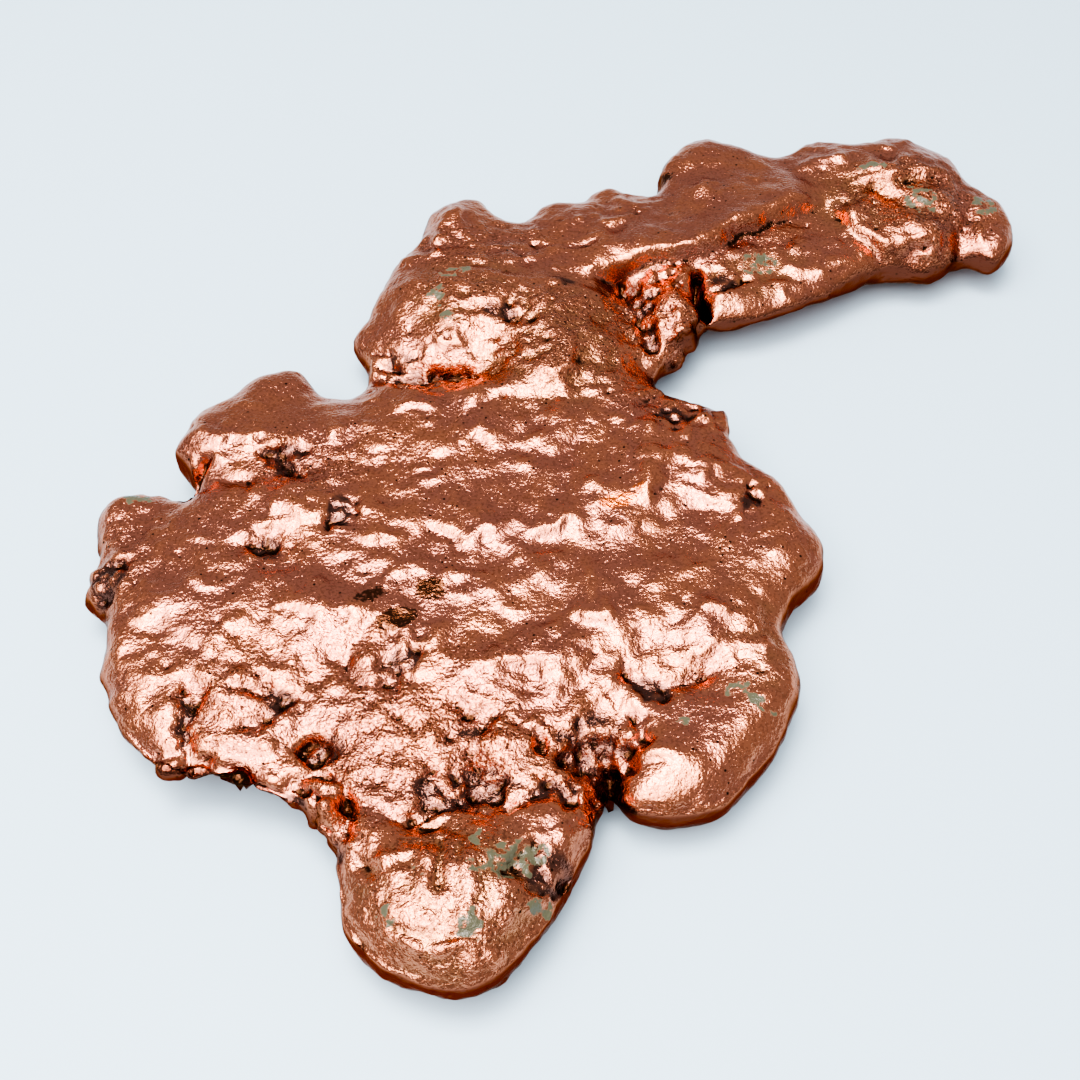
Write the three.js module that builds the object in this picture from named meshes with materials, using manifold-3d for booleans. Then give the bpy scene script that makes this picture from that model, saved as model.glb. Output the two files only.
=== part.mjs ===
// A native copper nugget: one lobed slab of float copper, worn smooth by water and ice.
// Millimetres, +Z up. The nugget lies on its underside, and the long arm points away and to the right.
// The slab is the space between an upper and a lower surface, closed by a rounded rim that follows the outline.

import * as THREE from 'three';
import Module from 'manifold-3d';

// Driving dimensions.
const CELL = 2.2; // spacing of the grid that the surface is found on
const RIM_RADIUS = 5; // how far in from the outline the rim is still rounding over
const PLATEAU = 9.2; // usual height of the upper surface
const UNDERSIDE = 1.4; // usual gap between the table and the lower surface
const LEAST_THICKNESS = 2.6; // thinnest that the slab gets inside its rim
const RIM_POWER = 2.5; // 2 rounds the rim as an ellipse, and more makes its wall steeper
const HEADROOM = 5; // how far the highest swell may rise over the plateau
const FOOTROOM = 3; // how far a foot reaches below the table before it is worn off level
const OUTLINE_SAMPLES = 660; // straight steps that stand for the outline curve
const BARELY_INSIDE = -0.02; // field value given to a grid point that is filled

// The plan outline, lobe by lobe, anticlockwise from the crack beside the toe.
const outlineLobes = {
  heel: [
    [7.5, -36.5], [8, -39.5], [10, -40.5], [15.5, -40.5], [19, -39], [22, -36], [25, -32], [27.5, -27],
    [28.5, -22.5], [26.5, -18.5],
  ],
  elbow: [[28, -15], [32, -10.5], [33, -6], [30.5, -1.5], [29, 3.5], [24.5, 7]],
  stub: [[23.5, 11], [24, 15], [21, 16], [17.5, 17.5]],
  neckRight: [[15.8, 17], [15, 19.5], [16, 23.5]],
  knob: [[18, 25], [20.5, 27.5], [21, 31], [20.5, 35.5]],
  armSlab: [[21.5, 35], [21.5, 32], [23.5, 30], [27.5, 31], [34.5, 33.5], [41.5, 38], [45, 40.5]],
  wrist: [[47, 41.5], [50, 40.5], [54, 41], [56, 42.5], [57, 45.5]],
  finger: [[58.5, 44], [60.5, 42], [63, 43], [65.5, 48.5], [64.8, 54], [61.8, 58]],
  hand: [[60, 60.5], [58.5, 64.5], [55, 67], [50, 69], [46.5, 67], [43, 67], [39, 68]],
  shoulder: [[35.5, 65], [33, 64.2], [28.5, 66.2], [24, 68], [20.5, 67], [17.2, 62], [16, 58.5], [16.5, 56]],
  armBack: [[13.5, 55.5], [10.5, 58.5], [7, 57], [5.5, 54], [2, 54.5], [-1, 53], [-2, 49.5]],
  crest: [[-4, 50], [-6, 51], [-7, 54], [-10.5, 55], [-13.5, 53], [-16, 51], [-17, 44.5]],
  cheek: [[-19.5, 42], [-21.5, 36]],
  ear: [[-23, 32], [-25, 27.5], [-22.5, 24], [-21.5, 20.5]],
  bay: [[-23, 18.5], [-25.5, 18], [-27.5, 19]],
  backPaw: [[-29.5, 22], [-36, 20.5], [-38.5, 17.5], [-42, 15], [-43.8, 9.5], [-45, 7], [-43, 6], [-41, 3]],
  sidePaw: [[-42.5, 1], [-45.5, 3], [-49, 2.5], [-52, 0], [-51.5, -5], [-50.5, -8]],
  bud: [[-51.5, -10.5], [-51.5, -13.5], [-48.5, -15]],
  frontPaw: [[-47.5, -18.5], [-47.5, -24], [-44, -30.5], [-39, -35.5], [-35.5, -36.5]],
  brokenEdge: [[-29.5, -37.5], [-25, -39.5], [-21.5, -42]],
  toe: [
    [-20.5, -44.5], [-19.5, -50.5], [-18, -54], [-13, -57.5], [-8, -58.5], [-3.5, -57], [1, -51.5],
    [5, -44], [6.5, -37.5],
  ],
};

// A swell is an oval rise or hollow: centre, reach along and across, turn of the long way in degrees, rise.
// A fold is a crest or furrow that follows a path: points of the path, reach to either side, rise.
const swell = (x, y, along, across, turn, rise) => ({ x, y, along, across, turn: THREE.MathUtils.degToRad(turn), rise });
const fold = (path, reach, rise) => ({ path, reach, rise });

const upperSwells = [
  swell(-8, -49, 9, 8, 20, 2.5), // toe
  swell(3, -41.5, 3.5, 3, 0, 0.6), // shoulder of the toe
  swell(-1.5, -32, 5, 4, 0, 0.8), // instep
  swell(5.5, -32.5, 3.6, 4.4, 15, -2.4), // cavity between the instep and the heel
  swell(-5, -37.5, 4.6, 2.4, 0, -1.1), // hollow behind the toe
  swell(17, -27.5, 5.5, 3.2, 30, -0.6), // hollow behind the heel's rim
  swell(18.5, -17, 4.4, 3, 10, 0.7),
  swell(27, -9, 6.5, 5, 60, 0.5), // elbow
  swell(22.5, 1, 3.6, 2.6, 0, 0.4),
  swell(8, -2.5, 3, 2.6, 0, -0.3),
  swell(-27, -2, 5, 3, 0, 0.8), // side of the body
  swell(-30, -8.5, 2.8, 2.4, 0, -0.7),
  swell(-36, -22, 6, 4.4, 20, 0.6), // front paw
  swell(-41, -27, 4, 5, 30, 0.4),
  swell(-22.5, -33.5, 3, 2.6, 0, -1.2),
  swell(-46, -4, 6, 6, 0, -1.4), // side paw
  swell(-25, 16.5, 5, 3.6, 0, -2), // bay
  swell(-15, 15, 4.4, 2.6, 10, 0.5),
  swell(-5.5, 15.5, 4.4, 2.6, 10, 0.6),
  swell(-6, 9, 5.5, 2.4, 0, 0.4),
  swell(3, 11, 4.4, 2.4, 10, 0.4),
  swell(-24, 12, 4, 2.4, 10, 0.4),
  swell(-9.5, 33, 9, 8, 20, 2.3), // cheek
  swell(-22, 27, 5, 6, 0, -1.9), // ear
  swell(2.5, 20, 3.6, 5, 10, 1),
  swell(3.5, 29.5, 4.4, 3, 10, 0.7),
  swell(-11.5, 49, 4.6, 4, 20, 0.9), // crest
  swell(17.5, 31.5, 3.4, 4.2, 0, 1.4), // knob
  swell(31, 37, 11, 5.5, 25, -1.4), // arm slab
  swell(21, 62.5, 5, 5, 0, 0.7), // shoulder
  swell(9, 54, 4, 4, 0, -0.8),
  swell(61.5, 49, 3, 7, 0, -0.6), // finger
  swell(-14, -11.5, 3.2, 2.4, 15, 0.3), // lumps and dips of the body
  swell(-5, -14, 3, 2.6, 0, 0.4),
  swell(0, -15, 4, 2.6, -10, -0.3),
  swell(6, -13, 4, 2.8, 10, 0.3),
  swell(13, -12.5, 4, 3, -15, 0.3),
  swell(13, -19.5, 3.4, 2.8, 0, -0.4),
  swell(-1, 2, 5, 3, -10, 0.4),
  swell(-13, 2, 5, 2.8, 15, 0.4),
  swell(-20, 3.5, 4, 2.8, 0, -0.3),
  swell(-29, 5.5, 3.4, 2.8, 0, -0.7),
  swell(14, 9, 4, 3, 30, 0.5),
  swell(20, 12.5, 3.4, 3, 0, -0.4),
  swell(-38, -7.5, 4.6, 3, 10, 0.3),
  swell(-36, -1.5, 4, 2.8, 0, 0.4),
  swell(-31, -27, 3, 3, 0, 0.6),
  swell(-15, -26, 3.4, 4.4, 0, 0.4),
  swell(-14, -33.5, 4.4, 3, -15, 0.4),
  swell(-9, -28.5, 3.4, 2.8, 15, -0.4),
  swell(24, 53.5, 4, 3, 10, 0.6), // lumps of the arm
  swell(44, 62, 3.4, 2.6, 0, 0.5),
  swell(33, 60, 4, 3, 0, -0.4),
  swell(5, 49, 3.4, 3, 0, 0.4),
];

const upperFolds = [
  fold([[10.5, -35], [15.5, -34.5], [20.5, -31.5], [24.5, -27]], 3.8, 1), // rim of the heel
  fold([[-11, -42.5], [-5, -41]], 2.4, -1), // furrow behind the toe
  fold([[-21, -5], [-16, -6.5], [-10, -4.5], [-5, -5.5], [1, -4]], 2.6, 0.5), // long fold of the body
  fold([[5, -4.5], [8, 0.5], [14, 1.5], [19, 4.5]], 2.6, 0.6),
  fold([[-13, -8.5], [-7, -9.5], [-2, -8], [5, -9], [11, -8.5], [16, -6]], 2.4, -0.4),
  fold([[-46, -17.5], [-40, -15], [-34, -13]], 2.6, 0.6), // fold over the front paw
  fold([[-43, -20.5], [-36, -18.5], [-31, -20.5]], 2.4, -0.4),
  fold([[-31, -15.5], [-20, -16.5]], 2.6, 0.5),
  fold([[-19.5, -22], [-23, -26], [-26, -30]], 2.2, -0.6),
  fold([[-10, -19.5], [-3, -20], [3, -18]], 2.4, -0.5),
  fold([[-9, -23.5], [1, -23], [6, -18.5], [10, -18]], 2.4, 0.4),
  fold([[-1, -27.5], [4, -27], [10, -25], [17, -24.5]], 2.2, -0.5),
  fold([[-19, 21.5], [-13, 20.5], [-6.5, 21.5]], 2.2, -2.2), // crevice below the cheek
  fold([[7, 20], [7, 26]], 2.2, -0.9),
  fold([[10.5, 36.5], [11.5, 31], [12.5, 25], [13.5, 20.5]], 2.4, -2.8), // crevice between the neck and the knob
  fold([[10, 42], [16, 43.5], [22, 44.5], [27, 48.5], [34, 52.5]], 4.4, 1.4), // long ridge of the arm
  fold([[37.5, 46.5], [38.5, 50], [42, 53]], 2.6, -1.1),
  fold([[42.5, 48.5], [44.5, 45.5], [48, 44], [54, 46]], 2.6, 0.8), // front ridge of the hand
  fold([[45, 58.5], [51, 59.5], [57, 60.5]], 2.8, 0.6),
  fold([[57.5, 45], [57.5, 51], [60, 56]], 2.2, -1), // crease of the finger
  fold([[-42, 8], [-37, 10], [-32, 9.5]], 2.6, 0.6), // front of the back paw
  fold([[-42, 2], [-36, 1.5]], 2.4, -0.8),
];

const lowerSwells = [
  swell(-7, -48, 7, 6, 20, -2.6), // foot under the toe
  swell(16, -30, 8, 6.5, 50, -2.8), // foot under the heel
  swell(-43, -8, 7, 6, 90, -2.6), // foot under the side paw
  swell(51, 55, 8, 6, 30, -2.6), // foot under the hand
  swell(-13, 37, 7, 6, 60, -2.6), // foot under the cheek
  swell(-31, -34, 10, 6, -15, 4.4), // broken edge, clear of the table
  swell(32, 34, 11, 6, 28, 2.4), // arch under the arm slab
  swell(-28, 14, 8, 6, 20, 1.2),
  swell(6, 10, 9, 7, -20, 0.9),
  swell(-12, -14, 11, 7, 15, 1.1),
  swell(24, 60, 7, 6, 0, 0.8),
];

const swellRise = ({ x: cx, y: cy, along, across, turn, rise }, x, y) => {
  const [dx, dy] = [x - cx, y - cy];
  const u = (dx * Math.cos(turn) + dy * Math.sin(turn)) / along;
  const v = (dy * Math.cos(turn) - dx * Math.sin(turn)) / across;
  return rise * Math.exp(-u * u - v * v);
};

// Distance from (x, y) to the straight step from a to b.
function distanceToStep([ax, ay], [bx, by], x, y) {
  const [ex, ey] = [bx - ax, by - ay];
  const t = THREE.MathUtils.clamp(((x - ax) * ex + (y - ay) * ey) / (ex * ex + ey * ey), 0, 1);
  return Math.hypot(x - ax - t * ex, y - ay - t * ey);
}

const foldRise = ({ path, reach, rise }, x, y) => {
  const away = Math.min(...path.slice(1).map((end, i) => distanceToStep(path[i], end, x, y))) / reach;
  return rise * Math.exp(-away * away);
};

const sumOf = (features, riseOf, x, y) => features.reduce((sum, feature) => sum + riseOf(feature, x, y), 0);
const upperHeight = (x, y) => PLATEAU + sumOf(upperSwells, swellRise, x, y) + sumOf(upperFolds, foldRise, x, y);
const lowerHeight = (x, y) => UNDERSIDE + sumOf(lowerSwells, swellRise, x, y);

// The outline as a closed run of short straight steps.
const outlinePoints = Object.values(outlineLobes).flat().map(([x, y]) => new THREE.Vector3(x, y, 0));
const outlineCurve = new THREE.CatmullRomCurve3(outlinePoints, true, 'centripetal');
const steps = outlineCurve.getPoints(OUTLINE_SAMPLES).map(({ x, y }) => [x, y]);

// Distance from (x, y) to the outline: positive inside it and negative outside.
function depthInside(x, y) {
  let nearest = Infinity;
  let inside = false;
  for (let i = 0; i + 1 < steps.length; i++) {
    const [[ax, ay], [bx, by]] = [steps[i], steps[i + 1]];
    nearest = Math.min(nearest, distanceToStep(steps[i], steps[i + 1], x, y));
    if (ay > y !== by > y && x < ax + ((y - ay) * (bx - ax)) / (by - ay)) inside = !inside;
  }
  return inside ? nearest : -nearest;
}

// The slab over one spot of the plan, as a function of height: negative inside, zero on the surface.
function columnAt(x, y) {
  const top = upperHeight(x, y);
  const half = Math.max(top - lowerHeight(x, y), LEAST_THICKNESS) / 2;
  const rim = Math.max(1 - depthInside(x, y) / RIM_RADIUS, 0);
  return (z) => (rim ** RIM_POWER + (Math.abs(z - top + half) / half) ** RIM_POWER) ** (1 / RIM_POWER) - 1;
}

// Two diagonal corners of a grid square that lie inside while the other two lie outside would pinch the surface.
// The outside corner nearest to the surface is filled, until no square is left like that.
function fillPinches(values, [sx, sy, sz]) {
  let pinches = 0;
  for (let here = 0; here + sx + sy < values.length; here++) {
    for (const [du, dv] of [[sx, sy], [sy, sz], [sz, sx]]) {
      const square = [here, here + du, here + du + dv, here + dv];
      const [a, b, c, d] = square.map((corner) => values[corner] < 0);
      if (a !== c || b !== d || a === b) continue;
      const outside = a ? [square[1], square[3]] : [square[0], square[2]];
      const nearest = values[outside[0]] < values[outside[1]] ? outside[0] : outside[1];
      values[nearest] = BARELY_INSIDE;
      pinches++;
    }
  }
  if (pinches) fillPinches(values, [sx, sy, sz]);
}

// Surface nets: one vertex in each grid cell that the surface crosses, two triangles for each crossed grid edge.
function surfaceNet(box, cell, fieldColumn) {
  const size = box.getSize(new THREE.Vector3());
  const [nx, ny, nz] = size.toArray().map((length) => Math.ceil(length / cell) + 1);
  const values = new Float64Array(nx * ny * nz);
  const at = (i, j, k) => (i * ny + j) * nz + k;
  for (let i = 0; i < nx; i++) {
    for (let j = 0; j < ny; j++) {
      const field = fieldColumn(box.min.x + i * cell, box.min.y + j * cell);
      for (let k = 0; k < nz; k++) values[at(i, j, k)] = field(box.min.z + k * cell);
    }
  }
  const stride = [at(1, 0, 0), at(0, 1, 0), at(0, 0, 1)];
  fillPinches(values, stride);
  const corners = [0, 1, 2, 3, 4, 5, 6, 7].map((n) => [n & 1, (n >> 1) & 1, (n >> 2) & 1]);
  const edges = corners.flatMap((a, m) => corners.slice(m + 1)
    .filter((b) => a.filter((c, axis) => c !== b[axis]).length === 1)
    .map((b) => [a, b]));
  const positions = [];
  const vertexOf = new Map();
  for (let i = 0; i + 1 < nx; i++) {
    for (let j = 0; j + 1 < ny; j++) {
      for (let k = 0; k + 1 < nz; k++) {
        const crossings = edges.flatMap(([a, b]) => {
          const va = values[at(i + a[0], j + a[1], k + a[2])];
          const vb = values[at(i + b[0], j + b[1], k + b[2])];
          return va < 0 === vb < 0 ? [] : [a.map((c, axis) => c + ((b[axis] - c) * va) / (va - vb))];
        });
        if (!crossings.length) continue;
        vertexOf.set(at(i, j, k), positions.length / 3);
        [i, j, k].forEach((c, axis) => {
          const mean = crossings.reduce((sum, p) => sum + p[axis], 0) / crossings.length;
          positions.push(box.min.getComponent(axis) + (c + mean) * cell);
        });
      }
    }
  }
  const index = [];
  for (let i = 1; i + 1 < nx; i++) {
    for (let j = 1; j + 1 < ny; j++) {
      for (let k = 1; k + 1 < nz; k++) {
        const here = at(i, j, k);
        for (let axis = 0; axis < 3; axis++) {
          const inside = values[here] < 0;
          if (inside === values[here + stride[axis]] < 0) continue;
          const [du, dv] = [stride[(axis + 1) % 3], stride[(axis + 2) % 3]];
          const ring = [here - du - dv, here - dv, here, here - du].map((cellHere) => vertexOf.get(cellHere));
          const [a, b, c, d] = inside ? ring : ring.reverse();
          index.push(a, b, c, a, c, d);
        }
      }
    }
  }
  return { positions: new Float32Array(positions), index: new Uint32Array(index) };
}

const wasm = await Module();
wasm.setup();

const solidFrom = ({ positions, index }) =>
  new wasm.Manifold(new wasm.Mesh({ numProp: 3, vertProperties: positions, triVerts: index }));

function geometryFrom(solid) {
  const mesh = solid.getMesh();
  return new THREE.BufferGeometry()
    .setAttribute('position', new THREE.BufferAttribute(new Float32Array(mesh.vertProperties), 3))
    .setIndex(new THREE.BufferAttribute(new Uint32Array(mesh.triVerts), 1));
}

// The whole slab, with the feet worn off level where it stands on the table.
function nuggetGeometry() {
  const box = new THREE.Box3().setFromPoints(outlinePoints);
  box.min.z = -FOOTROOM;
  box.max.z = PLATEAU + HEADROOM;
  box.expandByScalar(2 * CELL);
  const standing = solidFrom(surfaceNet(box, CELL, columnAt)).trimByPlane([0, 0, 1], 0);
  const geometry = geometryFrom(standing);
  geometry.computeBoundingBox();
  const centre = geometry.boundingBox.getCenter(new THREE.Vector3());
  return geometry.translate(-centre.x, -centre.y, 0);
}

const copper = new THREE.MeshStandardMaterial({ color: 0xb87060, roughness: 0.38, metalness: 1 });
const nugget = new THREE.Mesh(nuggetGeometry(), copper);
nugget.name = 'nugget';
const group = new THREE.Group();
group.add(nugget);
export default group;
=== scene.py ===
"""Looks of a native copper nugget: its worn, pitted metal and mineral films on a pale studio table."""

import logging
import math
from dataclasses import dataclass
from itertools import product
from typing import ClassVar

import bpy
import numpy as np
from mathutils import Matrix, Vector


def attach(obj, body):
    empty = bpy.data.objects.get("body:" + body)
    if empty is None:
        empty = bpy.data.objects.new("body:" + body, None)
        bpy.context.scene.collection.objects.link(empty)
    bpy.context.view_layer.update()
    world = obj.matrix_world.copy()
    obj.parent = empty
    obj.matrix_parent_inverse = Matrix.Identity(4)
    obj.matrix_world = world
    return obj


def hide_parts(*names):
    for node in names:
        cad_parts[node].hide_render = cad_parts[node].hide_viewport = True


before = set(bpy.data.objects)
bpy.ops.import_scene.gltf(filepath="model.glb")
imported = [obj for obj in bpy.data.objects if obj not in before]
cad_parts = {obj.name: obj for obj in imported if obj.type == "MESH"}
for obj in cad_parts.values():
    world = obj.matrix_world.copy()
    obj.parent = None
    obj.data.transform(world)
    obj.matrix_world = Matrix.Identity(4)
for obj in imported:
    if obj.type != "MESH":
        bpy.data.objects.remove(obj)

LOG = logging.getLogger("nugget")
MM = 0.001
Tree = bpy.types.NodeTree
Socket = bpy.types.NodeSocket
Colour = tuple[float, float, float]
Band = tuple[float, float]
DRAWN_MIDDLE = (6.668, 5.161)  # where the middle of the solid's plan lies in the drawing, in millimetres
FAR_OFF = 1e9  # a distance longer than any on the nugget


def fade(low: float, high: float, value: np.ndarray) -> np.ndarray:
    """Makes a smooth step.

    Args:
        low: Where the step is 0.
        high: Where the step is 1; it may lie below low.
        value: The values that are stepped.

    Returns:
        The step at each value, from 0 to 1.
    """
    t = np.clip((value - low) / (high - low), 0.0, 1.0)
    return t * t * (3.0 - 2.0 * t)


class Grain:
    """Seeded gradient noise and cell noise, sampled at points given in millimetres."""

    lattice: int = 256
    strength: float = 1.7  # brings the gradient noise to about -1 to 1
    layer_shift: float = 17.3

    def __init__(self, seed: int) -> None:
        """Shuffles the lattice.

        Args:
            seed: Picks the lattice, so that every run gives the same noise.
        """
        chance = np.random.default_rng(seed)
        self.order = chance.permutation(self.lattice)
        slopes = chance.normal(size=(self.lattice, 3))
        self.slopes = slopes / np.linalg.norm(slopes, axis=1)[:, None]
        self.spots = chance.random((self.lattice, 3))
        self.draws = chance.random(self.lattice)

    def _pick(self, cell: np.ndarray) -> np.ndarray:
        """Gives each cell of space its number in the lattice.

        Args:
            cell: Whole-number places of the cells, one row each.

        Returns:
            One lattice number for each cell.
        """
        last = self.lattice - 1
        first = self.order[cell[:, 0] & last]
        second = self.order[(first + cell[:, 1]) & last]
        return self.order[(second + cell[:, 2]) & last]

    def at(self, points: np.ndarray, size: float) -> np.ndarray:
        """Gradient noise.

        Args:
            points: Places, one row each, in millimetres.
            size: Width of a typical lump, in millimetres.

        Returns:
            One value for each place, from about -1 to 1.
        """
        scaled = points / size
        cell = np.floor(scaled).astype(np.int64)
        inside = scaled - cell
        ease = inside ** 3 * (inside * (inside * 6.0 - 15.0) + 10.0)
        total = np.zeros(len(points))
        for corner in product((0, 1), repeat=3):
            slope = self.slopes[self._pick(cell + corner)]
            weight = np.prod(np.where(corner, ease, 1.0 - ease), axis=1)
            total += weight * np.einsum("ij,ij->i", slope, inside - corner)
        return total * self.strength

    def layered(self, points: np.ndarray, size: float, layers: int) -> np.ndarray:
        """Noise on noise, each layer half as wide and half as strong.

        Args:
            points: Places, one row each, in millimetres.
            size: Width of the widest lumps, in millimetres.
            layers: How many layers are added up.

        Returns:
            One value for each place.
        """
        total = np.zeros(len(points))
        for layer in range(layers):
            total += self.at(points + self.layer_shift * layer, size / 2 ** layer) / 2 ** layer
        return total

    def cells(self, points: np.ndarray, size: float) -> tuple[np.ndarray, np.ndarray]:
        """Distance to the nearest scattered spot.

        Args:
            points: Places, one row each, in millimetres.
            size: Usual distance between spots, in millimetres.

        Returns:
            The distance in millimetres, and a random draw from 0 to 1 that belongs to the spot.
        """
        scaled = points / size
        cell = np.floor(scaled).astype(np.int64)
        nearest = np.full(len(points), FAR_OFF)
        draw = np.zeros(len(points))
        for step in product((-1, 0, 1), repeat=3):
            there = cell + step
            number = self._pick(there)
            away = np.linalg.norm(there + self.spots[number] - scaled, axis=1)
            closer = away < nearest
            nearest = np.where(closer, away, nearest)
            draw = np.where(closer, self.draws[number], draw)
        return nearest * size, draw


def turned(plan: np.ndarray, x: float, y: float, turn: float) -> tuple[np.ndarray, np.ndarray]:
    """Measures places along and across a turned cross.

    Args:
        plan: Places in the drawing, in millimetres.
        x: East place of the cross, in millimetres.
        y: North place of the cross, in millimetres.
        turn: How far the cross is turned to the left, in degrees.

    Returns:
        How far each place lies along the cross's long way, and how far across it.
    """
    angle = math.radians(turn)
    east, north = plan[:, 0] - x, plan[:, 1] - y
    along = east * math.cos(angle) + north * math.sin(angle)
    across = north * math.cos(angle) - east * math.sin(angle)
    return along, across


def follow(path: tuple[tuple[float, float], ...], plan: np.ndarray) -> tuple[np.ndarray, np.ndarray]:
    """Measures places against a path.

    Args:
        path: Corners of the path, in the drawing's millimetres.
        plan: Places in the drawing, in millimetres.

    Returns:
        How far each place lies from the path, and how far left of its nearest stretch.
    """
    best = np.full(len(plan), FAR_OFF)
    left = np.zeros(len(plan))
    for (ax, ay), (bx, by) in zip(path, path[1:]):
        ex, ey = bx - ax, by - ay
        east, north = plan[:, 0] - ax, plan[:, 1] - ay
        t = np.clip((east * ex + north * ey) / (ex * ex + ey * ey), 0.0, 1.0)
        away = np.hypot(east - t * ex, north - t * ey)
        left = np.where(away < best, (ex * north - ey * east) / math.hypot(ex, ey), left)
        best = np.minimum(best, away)
    return best, left


@dataclass(frozen=True)
class Oval:
    """An oval spot of the plan: centre, half length, half width, turn of the long way, and strength."""

    x: float
    y: float
    along: float
    across: float
    turn: float = 0.0
    rise: float = 1.0

    def cover(self, plan: np.ndarray, edge: float, core: float) -> np.ndarray:
        """Mask of the oval.

        Args:
            plan: Places in the drawing, in millimetres.
            edge: Where the mask is 0, as a square of the way from the centre to the oval's line.
            core: Where the mask is 1, measured in the same way.

        Returns:
            One value for each place, from 0 to 1.
        """
        along, across = turned(plan, self.x, self.y, self.turn)
        return fade(edge, core, (along / self.along) ** 2 + (across / self.across) ** 2)


def strongest(ovals: tuple[Oval, ...], plan: np.ndarray, edge: float, core: float) -> np.ndarray:
    """Joins the masks of many ovals, each at its own strength.

    Args:
        ovals: The ovals.
        plan: Places in the drawing, in millimetres.
        edge: Where a mask is 0, as for one oval.
        core: Where a mask is full, as for one oval.

    Returns:
        The strongest mask at each place.
    """
    return np.max([oval.rise * oval.cover(plan, edge, core) for oval in ovals], axis=0)


@dataclass(frozen=True)
class Fold:
    """A crest or furrow of the upper surface that follows a path, in the drawing's millimetres."""

    path: tuple[tuple[float, float], ...]
    reach: float
    rise: float
    widen: ClassVar[float] = 1.3
    share: ClassVar[float] = 0.7

    def lift(self, plan: np.ndarray) -> np.ndarray:
        """Height that the fold adds.

        Args:
            plan: Places in the drawing, in millimetres.

        Returns:
            One height for each place, in millimetres.
        """
        away, _ = follow(self.path, plan)
        return self.share * self.rise * np.exp(-(away / (self.widen * self.reach)) ** 2)


@dataclass(frozen=True)
class Step:
    """A terrace edge: raised left of its path and lowered right of it, dying away at its reach."""

    path: tuple[tuple[float, float], ...]
    width: float
    reach: float
    rise: float

    def lift(self, plan: np.ndarray) -> np.ndarray:
        """Height that the step adds.

        Args:
            plan: Places in the drawing, in millimetres.

        Returns:
            One height for each place, in millimetres.
        """
        away, left = follow(self.path, plan)
        return self.rise * (fade(-self.width, self.width, left) - 0.5) * np.exp(-(away / self.reach) ** 2)


@dataclass(frozen=True)
class Facet:
    """A slope of the upper surface that leans towards the toe, with a crest behind that dies away."""

    x: float
    y: float
    width: float
    depth: float
    turn: float = 0.0
    rise: float = 0.6
    widen: ClassVar[float] = 0.95
    deepen: ClassVar[float] = 1.15
    share: ClassVar[float] = 0.85
    crest: ClassVar[float] = 1.2  # where the climb ends, in depths
    flat: ClassVar[float] = 0.6  # where the tail begins, in depths
    tail: ClassVar[float] = 2.2  # how slowly it dies away, in depths

    def lift(self, plan: np.ndarray) -> np.ndarray:
        """Height that the facet adds.

        Args:
            plan: Places in the drawing, in millimetres.

        Returns:
            One height for each place, in millimetres.
        """
        along, across = turned(plan, self.x, self.y, self.turn)
        side = along / (self.widen * self.width)
        ahead = across / (self.deepen * self.depth)
        climb = fade(-self.crest, self.crest, ahead)
        tail = np.exp(-(np.maximum(ahead - self.flat, 0.0) / self.tail) ** 2)
        return self.share * self.rise * climb * tail * np.exp(-side ** 2)


@dataclass(frozen=True)
class Lumps:
    """A layer of noise in the skin: its width, its height on plain metal, more in crust, and its shift."""

    size: float
    plain: float
    crusted: float = 0.0
    shift: float = 0.0

    def push(self, grain: Grain, points: np.ndarray, crust: np.ndarray) -> np.ndarray:
        """How far the layer moves the skin.

        Args:
            grain: The noise.
            points: Places, one row each, in millimetres.
            crust: How crusted each place is, from 0 to 1.

        Returns:
            One distance for each place, outwards, in millimetres.
        """
        return (self.plain + self.crusted * crust) * grain.layered(points + self.shift, self.size, 2)


class Skin:
    """A mesh's vertices, normals and edges as arrays, with the smoothing and measuring done on them."""

    def __init__(self, shape: bpy.types.Object) -> None:
        """Reads the mesh.

        Args:
            shape: The object whose mesh is worked on.
        """
        self.mesh = shape.data
        count = len(self.mesh.vertices)
        flat = np.empty(count * 3)
        self.mesh.vertices.foreach_get("co", flat)
        self.points = flat.reshape(-1, 3) / MM
        ends = np.empty(len(self.mesh.edges) * 2, np.int64)
        self.mesh.edges.foreach_get("vertices", ends)
        self.ends = ends.reshape(-1, 2)
        self.valence = np.bincount(self.ends.ravel(), minlength=count).astype(float)

    def average(self, values: np.ndarray, rounds: int) -> np.ndarray:
        """Blurs values over the surface.

        Args:
            values: One value or one row for each vertex.
            rounds: How many times each vertex takes the mean of itself and its neighbours.

        Returns:
            The blurred values.
        """
        columns = values.reshape(len(values), -1).copy()
        first, second = self.ends.T
        for _ in range(rounds):
            for column in columns.T:
                around = np.bincount(first, column[second], len(column))
                around += np.bincount(second, column[first], len(column))
                column[:] = 0.5 * column + 0.5 * around / self.valence
        return columns.reshape(values.shape)

    def refresh(self) -> np.ndarray:
        """Writes the points back to the mesh.

        Returns:
            The normal of each vertex.
        """
        self.mesh.vertices.foreach_set("co", (self.points * MM).ravel())
        self.mesh.update()
        flat = np.empty(len(self.points) * 3, np.float32)
        self.mesh.vertex_normals.foreach_get("vector", flat)
        return flat.reshape(-1, 3).astype(float)

    def plan(self) -> np.ndarray:
        """Places of the vertices in the drawing, in millimetres."""
        return self.points[:, :2] + DRAWN_MIDDLE

    def mark(self, name: str, values: np.ndarray) -> None:
        """Stores a value from 0 to 1 on each vertex for the material to read.

        Args:
            name: Name of the attribute.
            values: One value for each vertex.
        """
        layer = self.mesh.attributes.new(name, "FLOAT", "POINT")
        layer.data.foreach_set("value", np.clip(values, 0.0, 1.0).astype(np.float32))


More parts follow.
